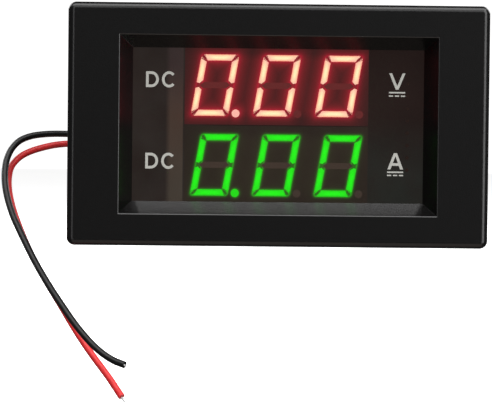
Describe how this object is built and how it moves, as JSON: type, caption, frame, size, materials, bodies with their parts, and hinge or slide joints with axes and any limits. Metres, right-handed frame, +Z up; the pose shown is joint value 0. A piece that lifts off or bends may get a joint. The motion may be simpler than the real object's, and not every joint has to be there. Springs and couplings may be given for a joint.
{
  "type": "digital panel meter",
  "caption": "Snap-in digital panel meter with a smoked window over a red voltage row and a green current row, rear screw terminals and supply leads.",
  "frame": {"origin": "centre of the bezel's rear face, which seats on the panel", "axes": "+X to the right as the display is read, +Z up, +Y into the panel; the display faces -Y"},
  "size_m": [0.0995, 0.0507, 0.0794],
  "materials": {
    "case_black": "fine moulded texture, smooth edges",
    "smoked_lens": "smoked clear plastic, polished",
    "module_shell": "matt dark plastic",
    "red_light": "lit red, cream in the middle",
    "green_light": "lit green",
    "tinned": "tin plated",
    "circuit_board": "green solder mask",
    "chip_black": "moulded epoxy",
    "can_metal": "satin",
    "chip_ceramic": "matt",
    "zinc_plate": "zinc plated",
    "gold_plate": "gold flash",
    "capacitor_sleeve": "bare can with a dark mark",
    "shunt_alloy": "drawn resistance wire",
    "trimmer_blue": "moulded",
    "nylon_white": "natural nylon",
    "terminal_green": "moulded",
    "nickel_plate": "nickel plated",
    "lead_black": "flexible insulation, satin",
    "lead_red": "flexible insulation, satin"
  },
  "bodies": {
    "meter": {"front_housing": "case_black", "window_lens": "smoked_lens", "red_display_shell": "module_shell", "red_segments": "red_light", "green_display_shell": "module_shell", "green_segments": "green_light", "display_pins": "tinned", "display_board": "circuit_board", "microcontroller": "chip_black", "display_driver": "chip_black", "clock_crystal": "can_metal", "chip_resistors": "chip_black", "chip_capacitors": "chip_ceramic", "board_screws": "zinc_plate", "header_strip": "chip_black", "header_pins": "gold_plate", "power_board": "circuit_board", "voltage_regulator": "chip_black", "amplifier_chip": "chip_black", "input_diode": "chip_black", "electrolytic_capacitors": "capacitor_sleeve", "current_shunt": "shunt_alloy", "volt_trimmer_body": "trimmer_blue", "amp_trimmer_body": "trimmer_blue", "trimmer_pins": "tinned", "terminal_block": "terminal_green", "terminal_bars": "tinned", "supply_socket": "nylon_white", "supply_socket_pins": "tinned", "supply_plug": "nylon_white", "supply_plug_contacts": "gold_plate", "black_lead": "lead_black", "black_lead_core": "tinned", "red_lead": "lead_red", "red_lead_core": "tinned", "rear_cover": "case_black", "case_screws": "zinc_plate"},
    "screw_1": {"terminal_screw_1": "zinc_plate"},
    "cage_1": {"terminal_cage_1": "nickel_plate"},
    "screw_2": {"terminal_screw_2": "zinc_plate"},
    "cage_2": {"terminal_cage_2": "nickel_plate"},
    "screw_3": {"terminal_screw_3": "zinc_plate"},
    "cage_3": {"terminal_cage_3": "nickel_plate"},
    "volt_rotor": {"volt_trimmer_rotor": "nylon_white"},
    "amp_rotor": {"amp_trimmer_rotor": "nylon_white"}
  },
  "joints": [
    {"name": "screw_1_turn", "type": "hinge", "parent": "meter", "child": "screw_1", "pos_m": [0.00792, 0.0296, -0.0167], "axis": [0, -1, 0], "range_deg": [0, 1600]},
    {"name": "cage_1_rise", "type": "slide", "parent": "meter", "child": "cage_1", "axis": [0, 1, 0], "range_m": [0, 0.002]},
    {"name": "screw_2_turn", "type": "hinge", "parent": "meter", "child": "screw_2", "pos_m": [0.013, 0.0296, -0.0167], "axis": [0, -1, 0], "range_deg": [0, 1600]},
    {"name": "cage_2_rise", "type": "slide", "parent": "meter", "child": "cage_2", "axis": [0, 1, 0], "range_m": [0, 0.002]},
    {"name": "screw_3_turn", "type": "hinge", "parent": "meter", "child": "screw_3", "pos_m": [0.01808, 0.0296, -0.0167], "axis": [0, -1, 0], "range_deg": [0, 1600]},
    {"name": "cage_3_rise", "type": "slide", "parent": "meter", "child": "cage_3", "axis": [0, 1, 0], "range_m": [0, 0.002]},
    {"name": "volt_trim_turn", "type": "hinge", "parent": "meter", "child": "volt_rotor", "pos_m": [-0.019, 0.0225, -0.011], "axis": [0, 1, 0], "range_deg": [-120, 120]},
    {"name": "amp_trim_turn", "type": "hinge", "parent": "meter", "child": "amp_rotor", "pos_m": [-0.008, 0.0225, -0.011], "axis": [0, 1, 0], "range_deg": [-120, 120]}
  ],
  "couplings": [
    {"joint": "screw_1_turn", "follows": "cage_1_rise", "rad_per_m": 13962},
    {"joint": "screw_2_turn", "follows": "cage_2_rise", "rad_per_m": 13962},
    {"joint": "screw_3_turn", "follows": "cage_3_rise", "rad_per_m": 13962}
  ]
}
